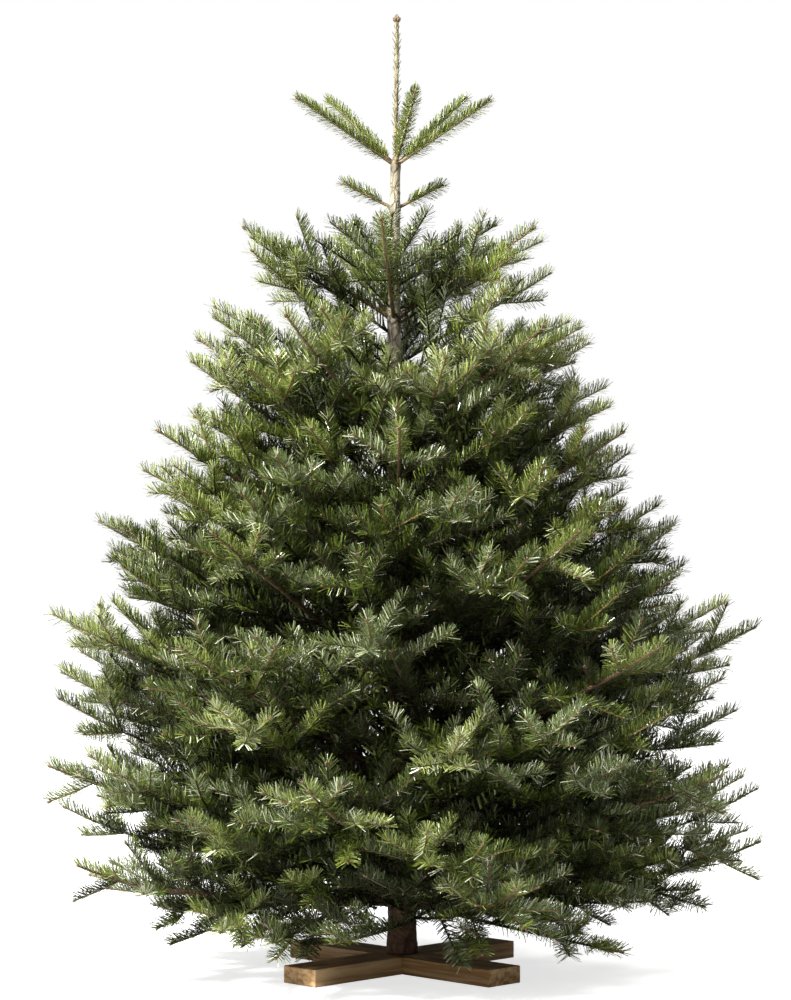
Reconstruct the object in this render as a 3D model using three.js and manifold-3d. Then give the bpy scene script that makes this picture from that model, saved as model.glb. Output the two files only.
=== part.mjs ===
// A cut fir Christmas tree, two metres tall, standing on a plain wooden cross stand.
//
// The stem of the tree is one whole trunk. Each yearly whorl carries boughs. Young whorls are
// foliage right back to the trunk; older whorls have bare boughs that end where their foliage
// begins. Every mass of foliage is one solid: a stem, a dense heart round it set with tufts, and
// the twigs that branch from it by a seeded rule, each a slim core that needles stand out of.
//
// Millimetres, +Z up. The origin is the middle of the stand's flat underside. Compass angles
// run anticlockwise from +X, seen from above.

import * as THREE from "three";
import { mergeVertices } from "three/addons/utils/BufferGeometryUtils.js";
import Module from "manifold-3d";

const wasm = await Module();
wasm.setup();

// ---------------------------------------------------------------- driving dimensions

const SEED = 7;
const FIT_GAP = 0.3;

// Stand: two half-lapped planks and a steel pin that the trunk is set on
const PLANK_LENGTH = 600;
const PLANK_WIDTH = 95;
const PLANK_THICKNESS = 36;
const PLANK_COMPASS = 45;
const PIN_RADIUS = 8;
const PIN_BOTTOM = 8;
const PIN_TOP = 150;
const PIN_SIDES = 12;
const WOOD_COLOR = 0xb58e5e;
const STEEL_COLOR = 0x8d9093;

// Trunk, from its flat cut to the tip of the leader
const TREE_HEIGHT = 2000;
const CUT_HEIGHT = PLANK_THICKNESS + FIT_GAP;
const BUTT_RADIUS = 31.5;
const FLARE = 3.5;
const FLARE_HEIGHT = 45;
const CROWN_TOP_RADIUS = 10;
const LEADER_RADIUS = 4.8;
const LEADER_TIP_RADIUS = 4;
const BUD_RADIUS = 6.5;
const BUD_LENGTH = 18;
const COLLAR = 2;
const COLLAR_LENGTH = 28;
const TRUNK_LEAN = 17;
const TRUNK_RETURN = 6;
const LEAN_HEIGHT = 1350;
const TRUNK_SIDES = 8;

// Growth: what a shoot adds in its first year, and how each later year falls off
const FIRST_YEAR_GROWTH = 140;
const YEARLY_DECLINE = 0.96;
const SIDE_SHARE = 0.76;
const SIDE_SHARE_JITTER = 0.1;
const SIDE_ANGLE = 52;
const SIDE_ANGLE_JITTER = 6;
const SIDE_PITCH = 11;
const SIDE_PITCH_JITTER = 4;
const RISER_PITCH = 38;
const HANGER_PITCH = -45;
const RISER_TURN_JITTER = 14;
const COMPASS_JITTER = 5;
const VIGOUR_JITTER = 0.04;

// Limbs
const BOUGH_RADIUS_START = 3.2;
const BOUGH_RADIUS_YEARLY = 1.25;
const LIMB_TIP_RADIUS = 2.6;
const BOUGH_SIDES = 8;
const STEM_SIDES = 3;
const BARE_STOP = 32;
const UPTURN_START = 0.7;
const BARK_COLOR = 0x5a4636;
const BOUGH_COLOR = 0x4a3828;

// Sprays: a slim three-sided core that flat-based needles stand out of. Each spray in the body
// of the tree stands for a twig with its side shoots, so its needles are larger than life.
const TOP_NEEDLE = 30;
const TOP_BANDS = 5;
const NEEDLE_LENGTH = 36;
const NEEDLE_GROWTH = 0.19;
const NEEDLE_LONGEST = 82;
const NEEDLE_ANGLE = 44;
const NEEDLE_TAPER = 0.35;
const TIP_ROOM = 0.6;
const BAND_LENGTH = 90;
const CORE_RADIUS = 4;
const CORE_TIP = 0.55;
const SPRAY_SINK = 5;
const SPRAY_NECK = 0.04;
const SPRAY_LIFT = 0.075;
const SPRAY_TRIES = [1, 0.86, 0.72, 0.58];
const SHORTEST_OPEN = 62;
const RISER_LENGTH = 88;
const RISER_SHARE = 0.16;
const TOP_NECK = 0.14;
const MOST_BANDS = 3;
const END_SPRAY_START = 0.76;
const END_SPRAY_REACH = 0.27;
const ROOT_ZONE = 16;
const FOLIAGE_COLOR = 0x35452a;

// Hearts: the dense body inside each mass that its sprays stand out of
const HEART_START = 0.16;
const HEART_END = 0.86;
const HEART_WIDTH = 0.15;
const HEART_FLATNESS = 0.8;
const HEART_SHOULDER = 0.06;
const HEART_SWELL = 0.7;
const HEART_BLUNT = 0.16;
const HEART_BANDS = 3;
const HEART_SIDES = 5;
const TUFT_LENGTH = 42;
const TUFT_GROWTH = 0.06;
const TUFT_DEPTH = 0.2;
const COVER_START = 0.15;
const COVER_STEP = 0.05;

// Spaces: how far foliage keeps from its neighbours' space and from the trunk
const SPACE_CLEARANCE = 2;
const TRUNK_CLEARANCE = 12;
const LOWEST_FOLIAGE = 10;

// Compass angles of the five shoots round the leader's foot
const TOP_COMPASS = [281, 339, 39, 139, 202];

// Compass angles of the four lowest boughs
const LOW_COMPASS = [205, 290, 8, 110];

// The whorls, from the top: height above the cut, age in years, vigour, rise of the boughs,
// bow of their arc, how far their ends turn up for their length, whether the first year's
// growth is a bare bough, and their compass angles
const WHORLS = [
  { height: 1677, age: 1, vigour: 1.78, rise: 31, bow: 0, upturn: 0, bare: false, compass: TOP_COMPASS },
  { height: 1584, age: 1, vigour: 0.86, rise: 27, bow: 0, upturn: 0, bare: false, compass: [182, 5] },
  { height: 1348, age: 2, vigour: 1.33, rise: 29, bow: 4, upturn: 0.02, bare: false, compass: evenly(5, 192) },
  { height: 1060, age: 3, vigour: 1.29, rise: 29, bow: 6, upturn: 0.02, bare: false, compass: evenly(5, 23) },
  { height: 793, age: 4, vigour: 1.1, rise: 31, bow: 8, upturn: 0.01, bare: false, compass: evenly(5, 196) },
  { height: 557, age: 5, vigour: 1.17, rise: 27.5, bow: 8, upturn: 0.01, bare: true, compass: evenly(5, 164) },
  { height: 362, age: 6, vigour: 1.13, rise: 21, bow: 4, upturn: 0.02, bare: true, compass: evenly(5, 18) },
  { height: 208, age: 7, vigour: 0.91, rise: 14, bow: -6, upturn: 0.02, bare: true, compass: evenly(5, 188) },
  { height: 110, age: 7, vigour: 0.87, rise: 6.5, bow: -12, upturn: 0.04, bare: false, compass: LOW_COMPASS },
];

// ---------------------------------------------------------------- small helpers

const UP = new THREE.Vector3(0, 0, 1);
const NORTH = new THREE.Vector3(0, 1, 0);

function evenly(count, start) {
  return Array.from({ length: count }, (unused, index) => start + (index * 360) / count);
}

function radians(degrees) {
  return (degrees * Math.PI) / 180;
}

// A seeded number from 0 to 1 that belongs to a list of whole-number keys
function chance(...keys) {
  let state = SEED;
  for (const key of keys) {
    state = Math.imul(state ^ (key + 1), 2654435761) >>> 0;
    state = (state ^ (state >>> 15)) >>> 0;
  }
  return state / 4294967296;
}

function jitter(amount, ...keys) {
  return amount * (2 * chance(...keys) - 1);
}

function smooth(value) {
  const share = Math.min(Math.max(value, 0), 1);
  return share * share * (3 - 2 * share);
}

// ---------------------------------------------------------------- solids

// A closed geometry as a solid that can be joined or cut
function solidOf(geometry) {
  const bare = geometry.clone();
  bare.deleteAttribute("normal");
  bare.deleteAttribute("uv");
  const merged = mergeVertices(bare, 1e-4);
  const index = merged.getIndex().array;
  const faces = [];
  for (let i = 0; i < index.length; i += 3) {
    const [a, b, c] = [index[i], index[i + 1], index[i + 2]];
    if (a !== b && b !== c && c !== a) {
      faces.push(a, b, c);
    }
  }
  const mesh = new wasm.Mesh({
    numProp: 3,
    vertProperties: new Float32Array(merged.getAttribute("position").array),
    triVerts: new Uint32Array(faces),
  });
  return new wasm.Manifold(mesh);
}

// The largest body of a solid, as a geometry
function geometryOf(solid) {
  const bodies = solid.decompose();
  bodies.sort((a, b) => b.volume() - a.volume());
  const mesh = bodies[0].getMesh();
  const geometry = new THREE.BufferGeometry();
  geometry.setAttribute("position", new THREE.BufferAttribute(mesh.vertProperties, 3));
  geometry.setIndex(new THREE.BufferAttribute(mesh.triVerts, 1));
  geometry.computeVertexNormals();
  return geometry;
}

function joined(solids) {
  return solids.reduce((whole, piece) => whole.add(piece));
}

// A round limb: a turned profile bent along a path. pathAt and radiusAt take a share of the
// path from 0 to 1, and shares lists where its rings lie.
function limb(pathAt, radiusAt, shares, sides, reference = UP) {
  const profile = shares.map((share) => new THREE.Vector2(radiusAt(share), share));
  profile.unshift(new THREE.Vector2(0, shares[0]));
  profile.push(new THREE.Vector2(0, shares[shares.length - 1]));
  const geometry = new THREE.LatheGeometry(profile, sides);
  const position = geometry.getAttribute("position");
  for (let i = 0; i < position.count; i += 1) {
    const share = position.getY(i);
    const frame = frameAt(pathAt, share, reference);
    const point = pathAt(share);
    point.addScaledVector(frame.side, position.getX(i));
    point.addScaledVector(frame.over, -position.getZ(i));
    position.setXYZ(i, point.x, point.y, point.z);
  }
  return geometry;
}

function frameAt(pathAt, share, reference = UP) {
  const step = 0.01;
  const along = pathAt(share + step).sub(pathAt(share - step)).normalize();
  const side = new THREE.Vector3().crossVectors(reference, along).normalize();
  const over = new THREE.Vector3().crossVectors(along, side);
  return { along, side, over };
}

function sharesBetween(start, end, steps) {
  return Array.from({ length: steps + 1 }, (unused, index) => start + ((end - start) * index) / steps);
}

// ---------------------------------------------------------------- trunk

// The trunk's centre at a height above the cut: it leans a little, then comes back
function trunkCentre(height) {
  const lean = -TRUNK_LEAN * smooth(height / LEAN_HEIGHT);
  const back = TRUNK_RETURN * smooth((height - LEAN_HEIGHT) / (TREE_HEIGHT - LEAN_HEIGHT));
  return new THREE.Vector3(lean + back, 0, CUT_HEIGHT + height);
}

function trunkRadius(height) {
  const topWhorl = WHORLS[0].height;
  if (height > TREE_HEIGHT - BUD_LENGTH && height < TREE_HEIGHT) {
    return BUD_RADIUS;
  }
  if (height > topWhorl + COLLAR_LENGTH) {
    return THREE.MathUtils.mapLinear(
      height, topWhorl, TREE_HEIGHT, LEADER_RADIUS, LEADER_TIP_RADIUS);
  }
  const straight = THREE.MathUtils.mapLinear(height, 0, topWhorl, BUTT_RADIUS, CROWN_TOP_RADIUS);
  const flare = FLARE * (1 - smooth(height / FLARE_HEIGHT));
  const collar = WHORLS.some((whorl) => Math.abs(whorl.height - height) < 1) ? COLLAR : 0;
  return straight + flare + collar;
}

function trunkRings() {
  const heights = [0, FLARE_HEIGHT];
  for (const whorl of [...WHORLS].reverse()) {
    heights.push(whorl.height - COLLAR_LENGTH, whorl.height, whorl.height + COLLAR_LENGTH);
  }
  heights.push(TREE_HEIGHT - 2 * BUD_LENGTH, TREE_HEIGHT - BUD_LENGTH / 2, TREE_HEIGHT);
  return heights.map((height) => height / TREE_HEIGHT);
}

function trunkLimb(extra) {
  const pathAt = (share) => trunkCentre(share * TREE_HEIGHT);
  const radiusAt = (share) => trunkRadius(share * TREE_HEIGHT) + extra;
  return solidOf(limb(pathAt, radiusAt, trunkRings(), TRUNK_SIDES, NORTH));
}

const trunkWithGap = trunkLimb(FIT_GAP / Math.cos(Math.PI / TRUNK_SIDES));

// ---------------------------------------------------------------- stand

function cylinderBetween(bottom, top, radius, sides) {
  const geometry = new THREE.CylinderGeometry(radius, radius, top - bottom, sides);
  geometry.rotateX(Math.PI / 2);
  geometry.translate(0, 0, (top + bottom) / 2);
  return geometry;
}

const pinHole = solidOf(cylinderBetween(
  PIN_BOTTOM - FIT_GAP, PIN_TOP + FIT_GAP, PIN_RADIUS + 2 * FIT_GAP, PIN_SIDES));

function box(length, width, bottom, top) {
  const geometry = new THREE.BoxGeometry(length, width, top - bottom);
  geometry.translate(0, 0, (top + bottom) / 2);
  return geometry;
}

// A plank with the half of its thickness that the crossing plank fills cut away
function standPlank(compass, lapBottom, lapTop) {
  const plank = solidOf(box(PLANK_LENGTH, PLANK_WIDTH, 0, PLANK_THICKNESS));
  const lap = solidOf(box(PLANK_WIDTH + 2 * FIT_GAP, 2 * PLANK_WIDTH, lapBottom, lapTop));
  const geometry = geometryOf(plank.subtract(lap).subtract(pinHole));
  geometry.rotateZ(radians(compass));
  return geometry;
}

// ---------------------------------------------------------------- boughs and their spaces

function yearLength(year) {
  return FIRST_YEAR_GROWTH * YEARLY_DECLINE ** year;
}

// How far along a bough each year's growth ends, in millimetres from the trunk's centre
function yearEnds(age, vigour) {
  const ends = [];
  let length = 0;
  for (let year = 0; year < age; year += 1) {
    length += vigour * yearLength(year);
    ends.push(length);
  }
  return ends;
}

// How far a bough's end has turned up at a share of its length
function endLift(whorl, length, share) {
  const turned = Math.max(share - UPTURN_START, 0) / (1 - UPTURN_START);
  return whorl.upturn * length * turned ** 2;
}

// A bough's centre line, from the trunk's centre at 0 to the tip at 1
function boughPath(whorl, compass, length) {
  const foot = trunkCentre(whorl.height);
  const outward = new THREE.Vector3(Math.cos(radians(compass)), Math.sin(radians(compass)), 0);
  const reach = length * Math.cos(radians(whorl.rise));
  const climb = length * Math.sin(radians(whorl.rise));
  return (share) => {
    const height = climb * share + 4 * whorl.bow * share * (1 - share);
    const upturn = endLift(whorl, length, share);
    return foot.clone().addScaledVector(outward, reach * share).addScaledVector(UP, height + upturn);
  };
}

// Height above the cut of a whorl's mean bough, at a distance from the trunk
function whorlLevel(whorl, distance) {
  const length = yearEnds(whorl.age, whorl.vigour)[whorl.age - 1];
  const share = distance / (length * Math.cos(radians(whorl.rise)));
  const climb = length * Math.sin(radians(whorl.rise)) * share;
  const bow = 4 * whorl.bow * share * (1 - Math.min(share, 1));
  return whorl.height + climb + bow + endLift(whorl, length, Math.min(share, 1));
}

// The space of one bough: its sector between the neighbouring boughs of its whorl, and its
// layer between the whorls above and below
function spaceOf(whorlIndex, boughs, boughIndex) {
  const count = boughs.length;
  const here = boughs[boughIndex].compass;
  const after = boughs[(boughIndex + 1) % count].compass;
  const before = boughs[(boughIndex + count - 1) % count].compass;
  return {
    compass: here,
    left: (((after - here + 360) % 360) || 360) / 2,
    right: (((here - before + 360) % 360) || 360) / 2,
    whorl: WHORLS[whorlIndex],
    above: WHORLS[whorlIndex - 1],
    below: WHORLS[whorlIndex + 1],
  };
}

function isInside(space, point) {
  const height = point.z - CUT_HEIGHT;
  const centre = trunkCentre(height);
  const east = point.x - centre.x;
  const north = point.y - centre.y;
  const distance = Math.hypot(east, north);
  if (distance < trunkRadius(Math.max(height, FLARE_HEIGHT)) + TRUNK_CLEARANCE) {
    return false;
  }
  const bearing = THREE.MathUtils.radToDeg(Math.atan2(north, east)) - space.compass;
  const turn = ((bearing + 540) % 360) - 180;
  const margin = THREE.MathUtils.radToDeg(Math.asin(Math.min(SPACE_CLEARANCE / distance, 1)));
  if (turn > space.left - margin || turn < margin - space.right) {
    return false;
  }
  const level = whorlLevel(space.whorl, distance);
  const ceiling = space.above ? (level + whorlLevel(space.above, distance)) / 2 : TREE_HEIGHT;
  const floor = space.below ? (level + whorlLevel(space.below, distance)) / 2 : LOWEST_FOLIAGE;
  return height < ceiling - SPACE_CLEARANCE && height > floor + SPACE_CLEARANCE;
}

// ---------------------------------------------------------------- sprays of needles

// A closed body round a path, pointed at both ends, with a needle on each of its faces. Each
// ring is turned half a side from the one before, so that its faces are triangles, and each
// needle is a spike raised on its face and swept towards the tip.
function needledBody({ pathAt, root, shares, widthAt, flatness, sides, needleAt }) {
  const points = [pathAt(root)];
  const faces = [];
  const addRing = (share, turns) => {
    const frame = frameAt(pathAt, share);
    const first = points.length;
    for (let corner = 0; corner < sides; corner += 1) {
      const angle = ((2 * corner + turns) * Math.PI) / sides;
      const point = pathAt(share).addScaledVector(frame.side, widthAt(share) * Math.cos(angle));
      points.push(point.addScaledVector(frame.over, flatness * widthAt(share) * Math.sin(angle)));
    }
    return (corner) => first + (corner % sides);
  };
  const addNeedle = (base, share, length) => {
    const apex = new THREE.Vector3();
    base.forEach((corner) => apex.addScaledVector(points[corner], 1 / 3));
    const { along } = frameAt(pathAt, share);
    const outward = apex.clone().sub(pathAt(share));
    outward.addScaledVector(along, -outward.dot(along)).normalize();
    apex.addScaledVector(outward, length * Math.sin(radians(NEEDLE_ANGLE)));
    apex.addScaledVector(along, length * Math.cos(radians(NEEDLE_ANGLE)));
    const top = points.push(apex) - 1;
    faces.push(base[0], base[1], top, base[1], base[2], top, base[2], base[0], top);
  };
  let lower = addRing(shares[0], 0);
  for (let corner = 0; corner < sides; corner += 1) {
    faces.push(lower(corner + 1), lower(corner), 0);
  }
  for (let band = 1; band < shares.length; band += 1) {
    const [start, end] = [shares[band - 1], shares[band]];
    const upper = addRing(end, band);
    for (let corner = 0; corner < sides; corner += 1) {
      const next = corner + 1;
      addNeedle([lower(corner), lower(next), upper(corner)], (2 * start + end) / 3, needleAt(band));
      addNeedle([lower(next), upper(next), upper(corner)], (start + 2 * end) / 3, needleAt(band));
    }
    lower = upper;
  }
  const tip = points.push(pathAt(1)) - 1;
  for (let corner = 0; corner < sides; corner += 1) {
    faces.push(lower(corner), lower(corner + 1), tip);
  }
  const geometry = new THREE.BufferGeometry();
  geometry.setFromPoints(points);
  geometry.setIndex(faces);
  return geometry;
}

// A spray of needles: a slim three-sided core, with the needles shorter towards its tip
function sprayGeometry(pathAt, length, radiusAt, neck, bands, needle) {
  return needledBody({
    pathAt,
    root: -SPRAY_SINK / length,
    shares: sharesBetween(neck, 1 - (TIP_ROOM * needle) / length, bands),
    widthAt: radiusAt,
    flatness: 1,
    sides: 3,
    needleAt: (band) => needle * (1 - (NEEDLE_TAPER * (band - 1)) / bands),
  });
}

// A spray that leaves its root along heading and lifts towards its tip, with its needles on
// the part that the heart doesn't cover; null where even a short one would leave its space
function fittedSpray(space, root, heading, wanted, coveredAt) {
  for (const shrink of SPRAY_TRIES) {
    const length = wanted * shrink;
    const pathAt = (share) => root.clone().addScaledVector(heading, length * share)
      .addScaledVector(UP, SPRAY_LIFT * length * share * share);
    const radiusAt = (share) => CORE_RADIUS * THREE.MathUtils.lerp(1, CORE_TIP, share);
    const neck = coveredAt(pathAt) + SPRAY_NECK;
    const open = length * (1 - neck);
    if (open < SHORTEST_OPEN) {
      return null;
    }
    const bands = Math.max(1, Math.min(MOST_BANDS, Math.round(open / BAND_LENGTH)));
    const needle = Math.min(NEEDLE_LENGTH + NEEDLE_GROWTH * open, NEEDLE_LONGEST);
    const spray = sprayGeometry(pathAt, length, radiusAt, neck, bands, needle);
    if (allInside(space, spray, root)) {
      return solidOf(spray);
    }
  }
  return null;
}

// Whether every corner of a geometry that stands clear of its root lies inside the space
function allInside(space, geometry, root) {
  const position = geometry.getAttribute("position");
  const corner = new THREE.Vector3();
  for (let i = 0; i < position.count; i += 1) {
    corner.fromBufferAttribute(position, i);
    if (corner.distanceTo(root) > ROOT_ZONE && !isInside(space, corner)) {
      return false;
    }
  }
  return true;
}

// ---------------------------------------------------------------- masses of foliage

// The direction of a twig that leaves a limb: turned to one side, then pitched up or down
function twigHeading(frame, turn, pitch) {
  const heading = frame.along.clone().applyAxisAngle(frame.over, radians(turn));
  const side = new THREE.Vector3().crossVectors(UP, heading).normalize();
  return heading.applyAxisAngle(side, -radians(pitch)).normalize();
}

// A single shoot: needles all along its stem
function shootGeometry(bough) {
  const { path, length, radiusAt } = bough;
  const bands = Math.round((TOP_BANDS * length) / FIRST_YEAR_GROWTH);
  const shoot = sprayGeometry(path, length, radiusAt, TOP_NECK, bands, TOP_NEEDLE);
  return geometryOf(solidOf(shoot).subtract(trunkWithGap));
}

// Half the width of a mass's heart at a share of its bough: it swells, then narrows again
function heartWidth(share, heart) {
  const along = (share - heart.from) / (HEART_END - heart.from);
  if (along < 0 || along > 1) {
    return 0;
  }
  return heart.width * Math.max(Math.sin(Math.PI * along) ** HEART_SWELL, HEART_BLUNT);
}

// The dense heart of a mass: a flattened body round the stem, set with tufts, as wide as its
// space allows
function fittedHeart(space, path, length, start) {
  const from = Math.max(start, HEART_START);
  for (const shrink of SPRAY_TRIES) {
    const heart = { from, width: HEART_WIDTH * length * shrink };
    const tuft = (TUFT_LENGTH + TUFT_GROWTH * length) * shrink;
    const body = needledBody({
      pathAt: (share) => path(Math.min(share, HEART_END)),
      root: from,
      shares: sharesBetween(from + HEART_SHOULDER, HEART_END - HEART_SHOULDER, HEART_BANDS),
      widthAt: (share) => heartWidth(share, heart),
      flatness: HEART_FLATNESS,
      sides: HEART_SIDES,
      needleAt: () => tuft,
    });
    if (allInside(space, body, path(from))) {
      return { ...heart, tuft, solid: solidOf(body) };
    }
  }
  return { from: 1, width: 0, tuft: 0, solid: null };
}

// How much of a spray's path lies inside the heart and the feet of its tufts
function coveredShare(pathAt, path, length, heart) {
  const along = path(1).sub(path(0)).normalize();
  for (let share = COVER_START; share < 1; share += COVER_STEP) {
    const point = pathAt(share);
    const boughShare = point.clone().sub(path(0)).dot(along) / length;
    const frame = frameAt(path, boughShare);
    const offset = point.sub(path(boughShare));
    const wide = offset.dot(frame.side);
    const high = offset.dot(frame.over) / HEART_FLATNESS;
    const width = heartWidth(boughShare, heart);
    if (width === 0 || Math.hypot(wide, high) > width + heart.tuft * TUFT_DEPTH) {
      return share;
    }
  }
  return 1;
}

// One mass: its stem is the rest of the bough, through a dense heart, with a pair of side
// sprays at each year's node, some that rise or hang, and one at the end
function foliageGeometry(bough, space) {
  const { path, length, ends, start, radiusAt, keys } = bough;
  const heart = fittedHeart(space, path, length, start);
  const coveredAt = (pathAt) => coveredShare(pathAt, path, length, heart);
  const stem = solidOf(limb(path, radiusAt, sharesBetween(start, HEART_END, 2), STEM_SIDES));
  const sprays = [];
  const grow = (share, turn, pitch, reach) => {
    const heading = twigHeading(frameAt(path, share), turn, pitch);
    sprays.push(fittedSpray(space, path(share), heading, reach, coveredAt));
  };
  grow(END_SPRAY_START, 0, 0, length * END_SPRAY_REACH);
  ends.slice(0, -1).forEach((end, year) => {
    const share = end / length;
    if (share < start) {
      return;
    }
    for (const hand of [1, -1]) {
      const here = [...keys, year, hand + 1];
      const turn = hand * (SIDE_ANGLE + jitter(SIDE_ANGLE_JITTER, ...here, 3));
      const lift = (year % 2 ? hand : -hand) * SIDE_PITCH;
      const pitch = lift + jitter(SIDE_PITCH_JITTER, ...here, 4);
      const reach = SIDE_SHARE * (length - end) * (1 + jitter(SIDE_SHARE_JITTER, ...here, 5));
      grow(share, turn, pitch, reach);
    }
    const turn = jitter(RISER_TURN_JITTER, ...keys, year, 6);
    const pitch = year % 2 ? HANGER_PITCH : RISER_PITCH;
    grow(share, turn, pitch, RISER_SHARE * (length - end) + RISER_LENGTH);
  });
  const whole = joined([stem, heart.solid, ...sprays].filter((solid) => solid !== null));
  return geometryOf(start > 0 ? whole : whole.subtract(trunkWithGap));
}

// ---------------------------------------------------------------- materials and assembly

function material(color, roughness, metalness = 0) {
  return new THREE.MeshStandardMaterial({ color, roughness, metalness });
}

const group = new THREE.Group();

function add(name, geometry, look) {
  const mesh = new THREE.Mesh(geometry, look);
  mesh.name = name;
  group.add(mesh);
}

const lowerPlank = standPlank(PLANK_COMPASS, PLANK_THICKNESS / 2, PLANK_THICKNESS + 1);
const upperPlank = standPlank(PLANK_COMPASS + 90, -1, PLANK_THICKNESS / 2 + FIT_GAP);
const pin = cylinderBetween(PIN_BOTTOM, PIN_TOP, PIN_RADIUS, PIN_SIDES);
add("stand_lower_plank", lowerPlank, material(WOOD_COLOR, 0.7));
add("stand_upper_plank", upperPlank, material(WOOD_COLOR, 0.7));
add("stand_pin", pin, material(STEEL_COLOR, 0.4, 1));
add("trunk", geometryOf(trunkLimb(0).subtract(pinHole)), material(BARK_COLOR, 0.9));

WHORLS.forEach((whorl, whorlIndex) => {
  const boughs = whorl.compass.map((compass, index) => {
    const keys = [whorlIndex, index];
    const turned = whorl.age > 1 ? compass + jitter(COMPASS_JITTER, ...keys, 0) : compass;
    const vigour = whorl.vigour * (1 + jitter(VIGOUR_JITTER, ...keys, 9));
    return { compass: (turned + 360) % 360, vigour, keys };
  });
  boughs.forEach((bough, index) => {
    const ends = yearEnds(whorl.age, bough.vigour);
    const length = ends[ends.length - 1];
    const path = boughPath(whorl, bough.compass, length);
    const rootRadius = BOUGH_RADIUS_START + BOUGH_RADIUS_YEARLY * (whorl.age - 1);
    const radiusAt = (share) => THREE.MathUtils.lerp(rootRadius, LIMB_TIP_RADIUS, share);
    const bareShare = whorl.bare ? (ends[0] - BARE_STOP) / length : 0;
    const start = whorl.bare ? bareShare + FIT_GAP / length : 0;
    const space = spaceOf(whorlIndex, boughs, index);
    const label = `${whorlIndex + 1}_${index + 1}`;
    if (whorl.bare) {
      const shares = sharesBetween(0, bareShare, 2);
      const whole = solidOf(limb(path, radiusAt, shares, BOUGH_SIDES));
      add(`bough_${label}`, geometryOf(whole.subtract(trunkWithGap)), material(BOUGH_COLOR, 0.9));
    }
    const grown = { ...bough, path, length, ends, start, radiusAt };
    const foliage = whorl.age > 1 ? foliageGeometry(grown, space) : shootGeometry(grown);
    add(`foliage_${label}`, foliage, material(FOLIAGE_COLOR, 0.75));
  });
});

export default group;
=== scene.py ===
import math
from types import SimpleNamespace

import bpy
import numpy as np
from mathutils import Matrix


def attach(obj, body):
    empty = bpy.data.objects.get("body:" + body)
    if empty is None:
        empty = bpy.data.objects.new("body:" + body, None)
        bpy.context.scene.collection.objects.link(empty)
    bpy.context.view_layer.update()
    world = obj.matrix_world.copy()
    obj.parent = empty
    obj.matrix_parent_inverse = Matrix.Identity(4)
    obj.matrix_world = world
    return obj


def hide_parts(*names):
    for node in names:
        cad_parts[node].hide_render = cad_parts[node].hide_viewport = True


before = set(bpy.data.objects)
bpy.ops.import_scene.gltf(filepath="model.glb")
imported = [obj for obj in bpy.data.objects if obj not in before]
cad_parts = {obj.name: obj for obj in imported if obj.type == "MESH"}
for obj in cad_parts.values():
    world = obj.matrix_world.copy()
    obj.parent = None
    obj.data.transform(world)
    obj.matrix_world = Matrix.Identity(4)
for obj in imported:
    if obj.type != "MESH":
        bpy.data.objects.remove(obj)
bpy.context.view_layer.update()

# ------------------------------------------------------------------ sizes, in millimetres

MM = 0.001
SEED = 7
UP = np.array([0.0, 0.0, 1.0])
NORTH = np.array([0.0, 1.0, 0.0])

# Trunk
TREE_HEIGHT = 2000
CUT_HEIGHT = 36.3
BUTT_RADIUS = 31.5
FLARE = 3.5
FLARE_HEIGHT = 45
TOP_RADIUS = 10
LEADER_RADIUS = 4.8
LEADER_TIP_RADIUS = 4
TRUNK_LEAN = 17
TRUNK_RETURN = 6
LEAN_HEIGHT = 1350
TRUNK_SIDES = 48
TRUNK_SCARS = 46

# Growth
FIRST_YEAR_GROWTH = 140
YEARLY_DECLINE = 0.96
SIDE_SHARE = 0.76
SIDE_SHARE_JITTER = 0.1
SIDE_ANGLE = 52
SIDE_ANGLE_JITTER = 6
SIDE_PITCH = 11
SIDE_PITCH_JITTER = 4
RISER_PITCH = 38
HANGER_PITCH = -45
RISER_LENGTH = 88
RISER_SHARE = 0.16
RISER_TURN_JITTER = 14
COMPASS_JITTER = 5
FAR_RISE = 8
VIGOUR_JITTER = 0.04
BARE_STOP = 32
UPTURN_START = 0.7
SPRAY_LIFT = 0.075
FINE_SHARE = 0.68
FINE_SHARE_JITTER = 0.2
FINE_ANGLE_JITTER = 9
FINE_PITCH = 9
FINE_PITCH_JITTER = 17
FINE_RISER_REST = 110
FINE_RISER_PITCH = 36
FINE_HANGER_PITCH = -28
FINE_RISER_SHARE = 0.3
FINE_RISER_LENGTH = 50
FINE_RISER_TURN_JITTER = 20
STRETCH_SPACING = 52
STRETCH_START = 0.06
STRETCH_ANGLE = 56
STRETCH_LENGTH = 60
STRETCH_YEARLY = 14
LONG_STRETCH = 90
SHORTEST_TWIG = 46
FINEST_ORDER = 3
FINEST_DEPTH = 340
FOOT_GAP = 75
FOOT_SLOPE = 0.33
WINDOW_GAP = 42
WINDOW_LOW = 1262
WINDOW_HIGH = 1372
SKIRT_HEIGHT = -4
SKIRT_SLOPE = 0.05

# Limbs
BOUGH_RADIUS_START = 3.2
BOUGH_RADIUS_YEARLY = 1.25
LIMB_TIP_RADIUS = 2.3
TWIG_RADIUS = 1.8

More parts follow.
